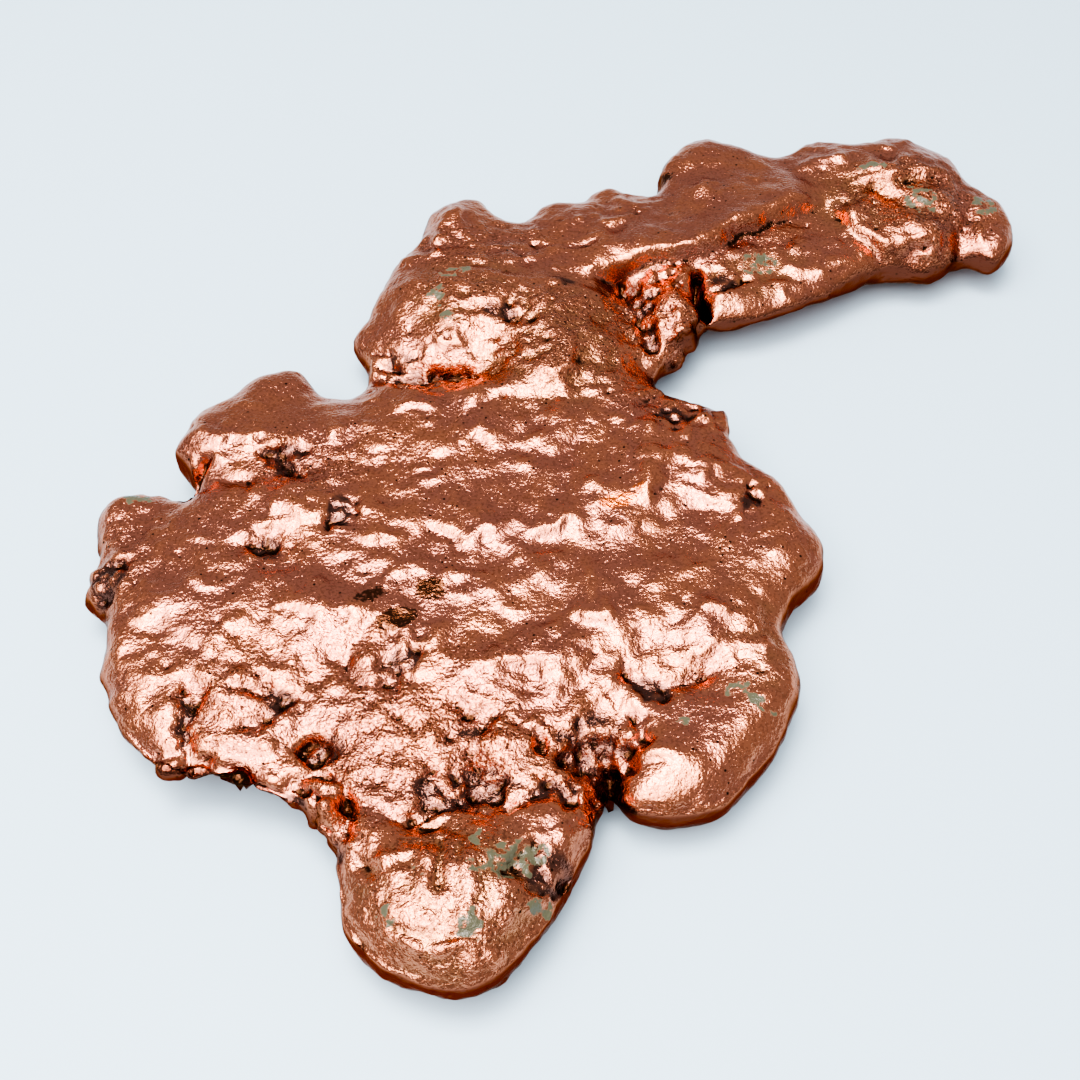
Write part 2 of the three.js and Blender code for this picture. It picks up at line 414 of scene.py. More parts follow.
FACETS: tuple[Facet, ...] = (
    # Broad slopes of the neck, the elbow and the shoulder.
    Facet(3, 19, 9, 5, 0, 1.8), Facet(15, -1, 8, 3.5, 20, 1.0), Facet(-14, 6, 8, 3, 10, 0.5),
    # Front paw and side paw.
    Facet(-27.5, -4, 4, 1.4, 15, 0.9), Facet(-19.5, -3.2, 2.2, 0.8, 0, 0.4),
    Facet(-33.5, -6.8, 2.4, 1, 15, 0.5), Facet(-31, -10.6, 2.2, 0.9, 0, 0.5),
    Facet(-24.5, -9.6, 1.4, 0.8, 0, 0.4), Facet(-36, -14.8, 3.4, 0.9, 12, 0.6),
    Facet(-43, -15.8, 2, 0.7, 10, 0.4), Facet(-41.5, -18, 2.4, 0.8, 12, 0.5),
    Facet(-36, -20.6, 3.2, 1.6, 0, 0.5), Facet(-25, -17.4, 4.6, 1.3, -6, 0.8),
    Facet(-22, -20.6, 2, 1.1, 0, 0.4), Facet(-44, -6.5, 2, 1, 0, 0.4),
    Facet(-46.5, -8.5, 1.6, 0.7, 0, 0.4), Facet(-38, -8.2, 2, 0.6, 0, 0.3),
    Facet(-43, -23.4, 2.4, 1.6, 30, 0.4), Facet(-40, -31.5, 3, 1.6, -25, 0.5),
    Facet(-33, -31.6, 2.6, 1, 10, 0.5), Facet(-28.5, -33.4, 2, 1.2, 0, 0.5),
    Facet(-31.6, -29, 1.2, 1, 0, 0.7), Facet(-20.5, -28, 2.4, 1, 20, 0.4),
    # Middle of the body.
    Facet(-17.5, -7.6, 3, 1.4, 8, 0.8), Facet(-6.6, -6.4, 2.8, 1.2, 0, 0.8),
    Facet(3, -6.2, 3, 1, 4, 0.7), Facet(8.6, -5.6, 1.8, 1.6, 10, 0.7),
    Facet(6.2, -1, 1.4, 1, 0, 0.6), Facet(-1, -11.6, 2.6, 0.8, 4, 0.5),
    Facet(-12, -11, 1.2, 0.5, 20, 0.3), Facet(-19, -10.7, 2.4, 0.6, 8, 0.35),
    Facet(-16, -13.6, 3.6, 0.8, 5, 0.4), Facet(-8, -14.2, 2, 0.9, 0, 0.6),
    Facet(-4.4, -16.4, 1.8, 0.8, 10, 0.5), Facet(5.2, -18.4, 2, 1.5, 10, 0.8),
    Facet(1, -21, 2.4, 1, 0, 0.5), Facet(2, -24, 2.6, 1, 0, 0.5),
    Facet(-3.5, -24, 4.2, 1.2, 0, 0.7), Facet(-17.5, -25, 1.6, 2.6, 0, 0.4),
    Facet(-6, -28, 2.6, 1.2, -15, 0.5), Facet(-12.6, -21.6, 2, 0.8, 0, 0.4),
    Facet(6, -28.8, 3.2, 0.9, 10, 0.8), Facet(-9, -32, 2, 1, 0, 0.4),
    Facet(-16, -32, 3, 1.4, 10, 0.4),
    # Elbow and heel.
    Facet(14.5, 0.6, 4, 1.3, 22, 0.9), Facet(19.4, 2.8, 1.8, 1, 10, 0.6),
    Facet(21.8, -1, 2, 0.8, 0, 0.5), Facet(26.5, -7, 2.4, 1.4, 20, 0.5),
    Facet(28.4, -11.4, 2.6, 1.4, 30, 0.5), Facet(17.4, -12.6, 1.6, 0.8, 15, 0.4),
    Facet(19.6, -18.6, 2.6, 1.4, 10, 0.8), Facet(15.8, -21.8, 2, 1.4, 15, 0.7),
    Facet(12.5, -12.4, 2, 0.7, 10, 0.3), Facet(24, -22.2, 1.8, 0.8, -10, 0.3),
    Facet(12, -17.6, 2.2, 0.8, 10, 0.3),
    # Toe.
    Facet(3.2, -43.2, 2.8, 1.2, 20, 0.6), Facet(-12, -48.6, 2.4, 1.8, 10, 0.5),
    Facet(-5, -50, 2.6, 1.6, 10, 0.5), Facet(-10, -56, 5.6, 0.9, 2, 0.7),
    Facet(-15, -47, 2, 1, 0, 0.4),
    # Back paw and the side below the neck.
    Facet(-38, 6.8, 3, 1, 22, 0.9), Facet(-32.6, 7.6, 2, 0.9, 20, 0.6),
    Facet(-24.2, 9.2, 1.8, 0.8, 0, 0.5), Facet(-20, 8, 1.6, 0.7, 15, 0.4),
    Facet(-21.4, 14.8, 1.6, 0.5, 0, 0.4), Facet(-15.4, 12.6, 2.6, 1.2, 15, 0.8),
    Facet(-13.6, 9.6, 1.6, 0.8, 15, 0.4), Facet(-5.6, 13, 3, 1.2, 8, 0.9),
    Facet(-7, 7, 4, 1.3, 8, 0.8), Facet(2.4, 7.6, 2.8, 1.5, 10, 0.8),
    Facet(-14, 3.2, 2.4, 0.6, -5, 0.4), Facet(-13, 0, 3, 0.7, 10, 0.4),
    Facet(-3, 2.4, 3, 0.8, -12, 0.4), Facet(-26, 2.4, 1.6, 0.5, 0, 0.3),
    Facet(-34, -0.5, 2, 0.6, 0, 0.3), Facet(-34.5, 14.6, 1.6, 0.5, 0, 0.3),
    # Cheek and neck.
    Facet(-12, 23.6, 3, 0.9, 8, 0.8), Facet(-8.6, 28, 1.6, 1.8, -20, 0.7),
    Facet(-4.6, 30.8, 2.8, 0.9, 8, 0.8), Facet(2, 28.6, 2.2, 0.9, 10, 0.8),
    Facet(-2.4, 23.4, 2, 1, -35, 0.7), Facet(2.8, 18.4, 2.4, 1.8, 10, 0.9),
    Facet(9.6, 16.8, 2, 0.5, -25, 0.5), Facet(8.4, 14.6, 2, 0.5, -20, 0.5),
    Facet(10.4, 18.8, 1.6, 0.4, -28, 0.4), Facet(9, 11.8, 1.6, 0.8, 0, 0.5),
    Facet(3.2, 12, 2, 0.8, 5, 0.6), Facet(7.2, 9.4, 1.8, 0.7, 0, 0.5),
    Facet(11.6, 8, 1.4, 1, 20, 0.6), Facet(14, 6.4, 1.6, 0.7, 15, 0.5),
    Facet(18.6, 8.4, 1.4, 0.6, 0, 0.5), Facet(3, 34.2, 1.8, 0.7, 0, 0.5),
    Facet(-4, 20.6, 1.6, 0.6, -20, 0.4),
    # Crest, shoulder and arm.
    Facet(-13.6, 42.8, 2, 1, 10, 0.7), Facet(-11, 47, 1.6, 1, 10, 0.7),
    Facet(-14.6, 38, 2.6, 0.7, 10, 0.6), Facet(-3.4, 38.8, 2.8, 0.6, -8, 0.6),
    Facet(2.4, 38.4, 1.6, 0.5, 10, 0.4), Facet(11.4, 47.4, 1.8, 1.1, 10, 0.7),
    Facet(4.6, 47.6, 1.2, 0.6, 0, 0.4), Facet(22.4, 52.8, 2.4, 1.3, 20, 0.8),
    Facet(17, 57, 1, 1.6, 0, 0.6), Facet(20.6, 65, 1.8, 0.8, 0, 0.5),
    Facet(29, 55.6, 1.4, 0.5, 0, 0.3), Facet(40.5, 62.4, 3.4, 0.9, 5, 0.7),
    Facet(48.6, 62, 1.8, 1, 10, 0.7), Facet(49, 57, 3.8, 0.8, 10, 0.8),
    Facet(41.6, 48, 1.6, 1.2, -40, 0.6), Facet(45, 49.4, 1.6, 0.8, 0, 0.5),
    Facet(51.4, 46.6, 2, 0.8, 10, 0.6), Facet(58.6, 50.4, 1, 1.1, 0, 0.5),
    Facet(61.6, 44.8, 1.2, 1.4, 0, 0.5), Facet(24.8, 32, 1.8, 1.4, 10, 0.7),
    Facet(33, 34.6, 2, 0.9, 25, 0.6), Facet(37.4, 37.4, 1.8, 1.2, 30, 0.6),
    Facet(29, 33.2, 1.4, 0.8, 10, 0.4), Facet(34, 39.4, 1.6, 0.7, 20, 0.5),
    Facet(40, 40.6, 1.6, 0.8, 30, 0.5),
)

STEPS: tuple[Step, ...] = (
    Step(((9.5, 37.8), (15, 39.6), (21, 40.8), (25, 44), (30, 46.8), (35, 49.8)), 0.8, 3.4, 2.0),
    Step(((41.4, 48.6), (43, 45.2), (46, 42.4), (50, 43.2), (54, 44.4)), 0.6, 2.4, 1.2),
    Step(((46, 55.4), (51, 56.2), (55, 57.4)), 0.5, 2.0, 0.9),
    Step(((-20, 21), (-15, 20.2), (-9, 20.8)), 0.6, 2.2, 1.2),
    Step(((-6.4, -35.4), (-6.2, -32.4), (-4.4, -30)), 0.5, 2.2, -0.7),
    Step(((7.6, -35.4), (9.6, -34.6), (12, -34.8)), 0.5, 2.0, 0.7),
    Step(((13, 15.4), (16, 17.8), (20, 16.2)), 0.5, 2.0, 0.8),
)

FOLDS: tuple[Fold, ...] = (
    Fold(((-22.6, -38.8), (-21.6, -39.6)), 1.4, 2.6),
    Fold(((46.4, 57.4), (48, 57)), 1.8, 1.1),
    Fold(((53.4, 54), (55, 52.4)), 2.0, 1.3),
    Fold(((49.6, 47), (52, 46.2)), 1.6, 1.0),
    Fold(((42.4, 53), (44, 51.6)), 1.7, 0.9),
    Fold(((51, 59.6), (53, 58.6)), 1.4, 0.8),
    Fold(((38, 59.6), (41, 60.4)), 1.4, 0.7),
    Fold(((50.6, 50.4), (49, 52.6), (46, 54.2)), 0.9, -0.9),
    Fold(((-13.6, 44.6), (-12, 45.6)), 1.9, 1.0),
    Fold(((-17.6, 31), (-17, 33.6)), 1.6, 0.7),
    Fold(((4.4, 22), (6, 24.6)), 1.7, 0.8),
    Fold(((-3, 15.4), (-1, 16.8)), 1.7, 0.8),
    Fold(((-25, -36.6), (-23, -36.4), (-20, -37.4), (-19.4, -40)), 0.5, -1.2),
    Fold(((7.6, -41), (7.6, -37), (7, -34)), 0.4, -2.6),
    Fold(((21.2, 31.5), (20.9, 35), (20.4, 38)), 0.5, -5),
    Fold(((-41.4, 1), (-40.8, 3.4), (-39.6, 5.6)), 0.5, -2.5),
    Fold(((13.6, 32), (16.6, 33), (18.8, 31), (19.2, 27.6)), 0.9, 0.7),
    Fold(((14.4, 29.6), (17, 28.8), (18, 27)), 0.8, 0.6),
    Fold(((-19, 21.8), (-14, 20.6), (-9.4, 20.2)), 0.7, -1.4),
    Fold(((-6.4, -35.4), (-6.4, -32.6), (-4.6, -29.8), (-2, -29.6)), 0.9, -0.5),
    Fold(((-14.4, -41.4), (-12, -42.2), (-10, -42.6)), 0.5, -1),
    Fold(((-22.4, -39.6), (-20.6, -39), (-18.8, -40.2), (-18.4, -42.6)), 0.6, -1.1),
    Fold(((-36.6, -26), (-35.4, -28.4), (-36.2, -31)), 0.8, -0.7),
    Fold(((-37.4, -28.6), (-36.8, -31), (-36, -34)), 0.5, -0.7),
    Fold(((-20, -21), (-20.2, -24), (-18.6, -26)), 0.5, -0.6),
    Fold(((-15.8, -20.6), (-15.6, -24), (-15, -27)), 0.6, -0.5),
    Fold(((-32, -27), (-30.4, -26.9)), 0.6, -0.6),
    Fold(((-32.4, -31.4), (-28.4, -30)), 0.5, -0.6),
    Fold(((-12.4, -5.6), (-10, -6.6), (-9, -8.2)), 0.5, -0.5),
    Fold(((9.4, -24.2), (13.6, -25.6), (18, -24.6)), 0.8, -1),
    Fold(((-9.8, -44.6), (-9.6, -49.4)), 0.6, -0.7),
    Fold(((-17, -53.6), (-10, -54.4), (-4, -53.8), (1, -51)), 0.8, -0.6),
    Fold(((56.8, 43.6), (57.2, 47.6), (58, 49)), 0.8, -0.9),
    Fold(((0, 42), (5, 41.4), (8, 43)), 0.4, -0.5),
    Fold(((-40.6, 2), (-37.4, 2.6), (-34.4, 1.6)), 0.8, -0.6),
)

SCARS: tuple[Oval, ...] = (
    Oval(5.4, -32.4, 3.6, 3.4, 20, 1.6),
    Oval(7, -36.6, 1.8, 2.4, 15, 1.2),
    Oval(2.6, -33.4, 1.4, 1.6, 0, 1),
    Oval(-5.4, -37.4, 3.6, 1.9, -8, 1.4),
    Oval(-9, -39.6, 2.2, 1, 10, 0.8),
    Oval(1.4, -38, 2.2, 1.2, 0, 1.2),
    Oval(-24.6, -39.4, 1.8, 1.1, -40, 0.9),
    Oval(-11.6, -38.2, 1.7, 1.4, 0, 0.7),
    Oval(-22, -33.4, 2.2, 1.7, 20, 1.5),
    Oval(-27.2, -28, 1.5, 1.6, 0, 0.7),
    Oval(-36.8, -30, 1, 2.6, 0, 0.7),
    Oval(-30.4, -8.2, 1.6, 1.6, 0, 0.9),
    Oval(-23, -3.4, 1.4, 2.6, 0, 0.6),
    Oval(-30.4, 5.4, 2.6, 2.4, 0, 0.9),
    Oval(-13.6, 19.6, 5.4, 1.5, -4, 0.9),
    Oval(-5, 28.4, 2.2, 1.3, 0, 0.7),
    Oval(12.6, 33.6, 2.2, 3.6, 10, 1.2),
    Oval(14.2, 26.4, 2, 2.4, 30, 1.3),
    Oval(3, 34.6, 1.6, 0.8, 0, 0.4),
    Oval(16, 12.4, 1.8, 1.6, 0, 0.6),
    Oval(11.4, -26.4, 2.6, 1.6, -20, 0.8),
    Oval(24, -1.4, 1.3, 1.2, 0, 0.6),
    Oval(-14.4, -23, 1.6, 1.4, 0, 0.6),
    Oval(0.8, -47, 2.6, 2.4, 0, 1),
    Oval(-21.4, -44, 2.4, 1.4, -40, 0.6),
    Oval(-48, -12, 2.4, 3, 0, 0.5),
    Oval(24, 36.4, 1.8, 1.4, 0, 0.7),
    Oval(-17.6, 22.6, 2, 0.9, -10, 0.6),
    Oval(-7.4, -31.6, 1.3, 0.7, 20, 0.8),
)

BROKEN: tuple[Oval, ...] = (
    Oval(-34, -36.5, 7, 2.6, -4),
    Oval(-25, -40, 5.5, 3, -40),
    Oval(-16.6, -45.4, 3, 2, -60, 0.7),
    Oval(19, 26, 3, 5, 0, 0.8),
    Oval(20, 13, 4, 4, 0, 0.6),
    Oval(-44, 3, 3, 2, 0, 0.5),
    Oval(-49, -11, 2.6, 4, 0, 0.5),
)

CRUSTS: tuple[Oval, ...] = (
    Oval(-12, -34, 14, 8, 0, 1.0),
    Oval(-33, -29, 7, 6, 0, 0.8),
    Oval(-30, -8, 6, 5, 0, 0.5),
    Oval(-28, 4, 9, 5, 0, 0.7),
    Oval(-12, 20, 8, 3, 0, 0.9),
    Oval(14, 30, 6, 7, 0, 1.0),
    Oval(12, 16, 7, 5, 0, 0.6),
    Oval(14, -24, 6, 4, 0, 0.6),
    Oval(4, -34, 6, 6, 0, 1.0),
    Oval(51, 51, 11, 10, 0, 0.9),
    Oval(27, 42, 12, 5, 25, 0.5),
    Oval(12, 50, 8, 6, 0, 0.4),
    Oval(-8, 42, 11, 6, 10, 0.6),
    Oval(16, -3, 7, 5, 0, 0.3),
    Oval(-47, -10, 4, 7, 0, 0.6),
    Oval(-20, -43, 5, 4, 0, 0.8),
    Oval(0, -47, 4, 4, 0, 0.5),
    Oval(-22, -26, 26, 9, 0, 0.55),
    Oval(0, -25, 12, 7, 0, 0.5),
    Oval(19, -19, 8, 5, 0, 0.5),
    Oval(-8, -49, 9, 9, 0, 0.7),
    Oval(2, 24, 9, 10, 0, 0.8),
    Oval(-10, 30, 8, 7, 0, 0.6),
)

FILMS: tuple[Oval, ...] = (
    Oval(-3, -46.5, 5, 2.4, 20, 1.1),
    Oval(-6, -44, 1.6, 1.2),
    Oval(3, -50, 1.4, 2.6, -20),
    Oval(-11.5, -47.5, 1.2, 1.4),
    Oval(-6.5, -53, 1.6, 2.2),
    Oval(-14.5, -52, 1.6, 1.2),
    Oval(0.5, -50.5, 2.4, 1),
    Oval(20.5, -26.5, 2.2, 1.2, 10),
    Oval(23, -28.5, 2.4, 1, -30),
    Oval(14.5, -30.5, 1.6, 0.8),
    Oval(29, 40, 3.6, 2.6, 30),
    Oval(52, 52, 3, 4, 20),
    Oval(46, 57.5, 3, 1.4),
    Oval(61, 51.5, 2.2, 3),
    Oval(-11, 35.5, 3, 1.4, 20),
    Oval(-13, 31, 2, 2.4),
    Oval(-11.5, 27.5, 1.6, 1.2),
    Oval(-47, 0, 2.4, 1.2, 10),
)

PATCHES: dict[str, tuple[Oval, ...]] = {
    "gold": (
        Oval(2, 24, 11, 12, -30, 0.65),
        Oval(-9, 32, 9, 7, 0, 0.6),
        Oval(-9, -50, 10, 9, 0, 0.7),
        Oval(27, 37, 9, 4, 25, 0.8),
        Oval(46, 52, 10, 8, 0, 0.6),
        Oval(26, -20, 6, 12, 0, 0.5),
    ),
    "stain": (
        Oval(-15.5, -18, 2.6, 1.6, 20),
        Oval(-12, -14, 2, 1.6, 0),
        Oval(-18.5, -15, 2.4, 1, 30, 0.8),
        Oval(-15, 53.5, 1.4, 1.2, 0, 0.8),
        Oval(16, 58, 3, 1.4, 0, 0.9),
    ),
    "ember": (
        Oval(9, -2, 2.4, 1.1, 10),
        Oval(11.5, -0.5, 1, 0.8, 0, 0.8),
        Oval(9.5, -6, 3.4, 1.2, 5, 0.4),
        Oval(-29, -7, 4, 2, 0, 0.3),
        Oval(-28, 4, 4, 3, 0, 0.3),
        Oval(10, 29, 1.6, 8, 5, 0.2),
    ),
    "film": FILMS,
}


SWELLS: tuple[Lumps, ...] = (Lumps(5.0, 0.26), Lumps(3.4, 0.08, 0.2, 47.0), Lumps(2.0, 0.08, 0.12, 31.0))


@dataclass
class Nugget:
    """The copper lump: the solid's own shape, carved and roughened to the worn metal's detail.

    Lengths are in millimetres. A band says where a mask is 0 and where it is 1: over an oval as a square of
    the way from its centre to its line, and over a slope by the upward part of the normal.
    """

    weld: float = 0.001
    grid: float = 0.4
    settle: int = 22
    limit: int = 196_000
    seed: int = 7
    up_band: Band = (0.1, 0.6)
    east_shift: float = 5.0
    north_shift: float = 55.0
    wander_size: float = 6.0
    facet_wander: float = 3.0
    path_wander: float = 0.5
    tear_size: float = 1.4
    tear_wander: float = 0.55
    tear_shift: float = 10.0
    scar_band: Band = (2.0, 0.1)
    scar_share: float = 0.75
    crust_band: Band = (1.6, 0.3)
    front_line: float = -19.0
    front_run: float = 15.0
    front_slope: float = 0.06
    wrinkle_size: float = 1.3
    wrinkle_shift: float = 63.0
    plain_wrinkles: float = 0.03
    scar_wrinkles: float = 0.35
    crust_wrinkles: float = 0.10
    ragged_band: Band = (1.3, 0.5)
    ragged_size: float = 3.2
    ragged_rise: float = 1.1
    pit_spacing: float = 2.2
    pit_depth: float = 0.5
    pit_share: float = 0.1
    crust_pit_share: float = 0.45
    pit_floor: float = 0.1
    pit_reach: float = 0.45
    pit_spread: float = 0.8
    under: float = -0.6
    hollow_rounds: int = 12
    hollow_depth: float = 0.5
    lean_rounds: int = 8
    wall_band: Band = (0.75, 0.25)
    belly_band: Band = (-0.85, -0.45)
    plain_crust: float = 0.35
    crust_mark: Band = (1.8, 0.2)
    scar_mark: Band = (2.2, 0.4)
    patch_mark: Band = (1.5, 0.3)
    up_mark: Band = (-0.1, 0.4)

    def __post_init__(self) -> None:
        """Shuffles the noise that all of the nugget's surface shares."""
        self.grain = Grain(self.seed)

    def build(self) -> bpy.types.Object:
        """Copies the solid and works its surface.

        Returns:
            The finished mesh object.
        """
        shape = self._copy()
        corners = Skin(shape).points
        self._regrid(shape)
        self._work(shape)
        self._thin(shape)
        self._fit(shape, corners.min(axis=0), corners.max(axis=0))
        self._mark(shape)
        for face in shape.data.polygons:
            face.use_smooth = True
        return shape

    def _copy(self) -> bpy.types.Object:
        """Makes the visual object.

        Returns:
            An object with a copy of the solid's mesh.
        """
        shape = bpy.data.objects.new("copper_nugget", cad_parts["nugget"].data.copy())
        bpy.context.scene.collection.objects.link(shape)
        shape.data.materials.clear()
        return shape

    def _apply(self, shape: bpy.types.Object) -> None:
        """Bakes the object's modifiers into its mesh.

        Args:
            shape: The object.
        """
        baked = bpy.data.meshes.new_from_object(shape.evaluated_get(bpy.context.evaluated_depsgraph_get()))
        shape.modifiers.clear()
        shape.data = baked

    def _regrid(self, shape: bpy.types.Object) -> None:
        """Lays an even grid over the copied surface and rounds off its facets.

        Args:
            shape: The object.
        """
        weld = shape.modifiers.new("weld", "WELD")
        weld.merge_threshold = self.weld * MM
        remesh = shape.modifiers.new("regrid", "REMESH")
        remesh.mode = "VOXEL"
        remesh.voxel_size = self.grid * MM
        self._apply(shape)
        skin = Skin(shape)
        skin.points = skin.average(skin.points, self.settle)
        skin.refresh()

    def _work(self, shape: bpy.types.Object) -> None:
        """Raises lumps and folds, sinks scars and pits, and wrinkles the skin.

        Args:
            shape: The object.
        """
        skin = Skin(shape)
        plan = skin.plan()
        up = fade(*self.up_band, skin.refresh()[:, 2])
        wander = self._drift(skin.points, self.wander_size, 3)
        bent = plan + self.facet_wander * wander
        torn = bent + self.tear_wander * self._drift(skin.points + self.tear_shift, self.tear_size, 2)
        lift = np.zeros(len(plan))
        for facet in FACETS:
            lift += facet.lift(bent)
        for path in STEPS + FOLDS:
            lift += path.lift(plan + self.path_wander * wander)
        dents = [scar.cover(torn, *self.scar_band) for scar in SCARS]
        for scar, dent in zip(SCARS, dents):
            lift -= self.scar_share * scar.rise * dent
        lift -= self.front_slope * np.clip(self.front_line - plan[:, 1], 0.0, self.front_run)
        skin.points[:, 2] += lift * up
        normals = skin.refresh()
        crust = strongest(CRUSTS, bent, *self.crust_band)
        push = sum(swell.push(self.grain, skin.points, crust) for swell in SWELLS)
        skin.points += normals * push[:, None]
        normals = skin.refresh()
        ragged = strongest(BROKEN, plan, *self.ragged_band)
        push = self._wrinkles(skin.points, crust, np.max(dents, axis=0) * up, ragged)
        push -= self.pit_depth * self._pits(skin.points, crust) * up
        skin.points += normals * push[:, None]
        skin.refresh()

    def _drift(self, points: np.ndarray, size: float, layers: int) -> np.ndarray:
        """Wandering of places over the plan, so that outlines drawn on it are never regular.

        Args:
            points: Places, one row each, in millimetres.
            size: Width of the widest wandering, in millimetres.
            layers: How many layers of noise are added up.

        Returns:
            An east and a north part for each place.
        """
        shifts = (self.east_shift, self.north_shift)
        return np.stack([self.grain.layered(points + shift, size, layers) for shift in shifts], axis=1)

    def _wrinkles(
        self, points: np.ndarray, crust: np.ndarray, scar: np.ndarray, ragged: np.ndarray
    ) -> np.ndarray:
        """Fine unevenness of the skin, stronger in scars and crust and strongest at broken edges.

        Args:
            points: Places, one row each, in millimetres.
            crust: How crusted each place is, from 0 to 1.
            scar: How scarred each place is, from 0 to 1.
            ragged: How broken each place is, from 0 to 1.

        Returns:
            One distance for each place, outwards, in millimetres.
        """
        height = self.scar_wrinkles * scar + self.plain_wrinkles + self.crust_wrinkles * crust
        push = height * self.grain.layered(points + self.wrinkle_shift, self.wrinkle_size, 2)
        return push + self.ragged_rise * ragged * self.grain.layered(points, self.ragged_size, 2)

    def _pits(self, points: np.ndarray, crust: np.ndarray) -> np.ndarray:
        """Scatters pits, more and wider ones in the crust.

        Args:
            points: Places, one row each, in millimetres.
            crust: How crusted each place is, from 0 to 1.

        Returns:
            A mask that is 1 at the bottom of a pit.
        """
        away, draw = self.grain.cells(points, self.pit_spacing)
        chosen = draw < self.pit_share + self.crust_pit_share * crust
        return np.where(chosen, fade(self.pit_reach + self.pit_spread * draw, self.pit_floor, away), 0.0)

    def _thin(self, shape: bpy.types.Object) -> None:
        """Spends fewer triangles under the nugget than on its open faces.

        Args:
            shape: The object.
        """
        under = np.nonzero(Skin(shape).refresh()[:, 2] < self.under)[0]
        group = shape.vertex_groups.new(name="under")
        group.add(under.tolist(), 1.0, "REPLACE")
        triangles = 2 * len(shape.data.polygons)
        thin = shape.modifiers.new("thin", "DECIMATE")
        thin.vertex_group = "under"
        thin.vertex_group_factor = 1.0
        thin.ratio = min(1.0, self.limit / triangles)
        self._apply(shape)
        shape.vertex_groups.clear()
        LOG.info("copper nugget: thinned from %d triangles to %d", triangles, len(shape.data.polygons))

    def _fit(self, shape: bpy.types.Object, low: np.ndarray, high: np.ndarray) -> None:
        """Keeps the worked surface inside the solid's own box.

        Args:
            shape: The worked object.
            low: The box's lowest corner, in millimetres.
            high: The box's highest corner, in millimetres.
        """
        skin = Skin(shape)
        skin.points = np.clip(skin.points, low, high)
        skin.refresh()

    def _mark(self, shape: bpy.types.Object) -> None:
        """Marks hollows, scars, crust, walls and the coloured patches on the vertices.

        Args:
            shape: The finished object.
        """
        skin = Skin(shape)
        plan = skin.plan()
        normals = skin.refresh()
        up = fade(*self.up_mark, normals[:, 2])
        near = skin.average(skin.points, self.hollow_rounds)
        hollow = np.einsum("ij,ij->i", near - skin.points, normals)
        skin.mark("hollow", 0.5 + hollow / self.hollow_depth)
        skin.mark("crust", np.maximum(self.plain_crust, strongest(CRUSTS, plan, *self.crust_mark)))
        # The side mark picks the steep walls, which the material darkens as painted shade.
        lean = skin.average(normals[:, 2], self.lean_rounds)
        skin.mark("side", fade(*self.wall_band, lean) * fade(*self.belly_band, lean))
        skin.mark("scar", np.max([scar.cover(plan, *self.scar_mark) for scar in SCARS], axis=0) * up)
        for name, ovals in PATCHES.items():
            skin.mark(name, strongest(ovals, plan, *self.patch_mark) * up)


@dataclass(frozen=True)
class Noise:
    """Lumps to the metre, and how many finer layers are added."""

    scale: float
    detail: float


@dataclass(frozen=True)
class Coat:
    """A colour on the metal, and the band of values over which it comes in.

    The values are a first one plus a share of a second.
    """

    colour: Colour
    low: float
    high: float
    share: float = 0.0


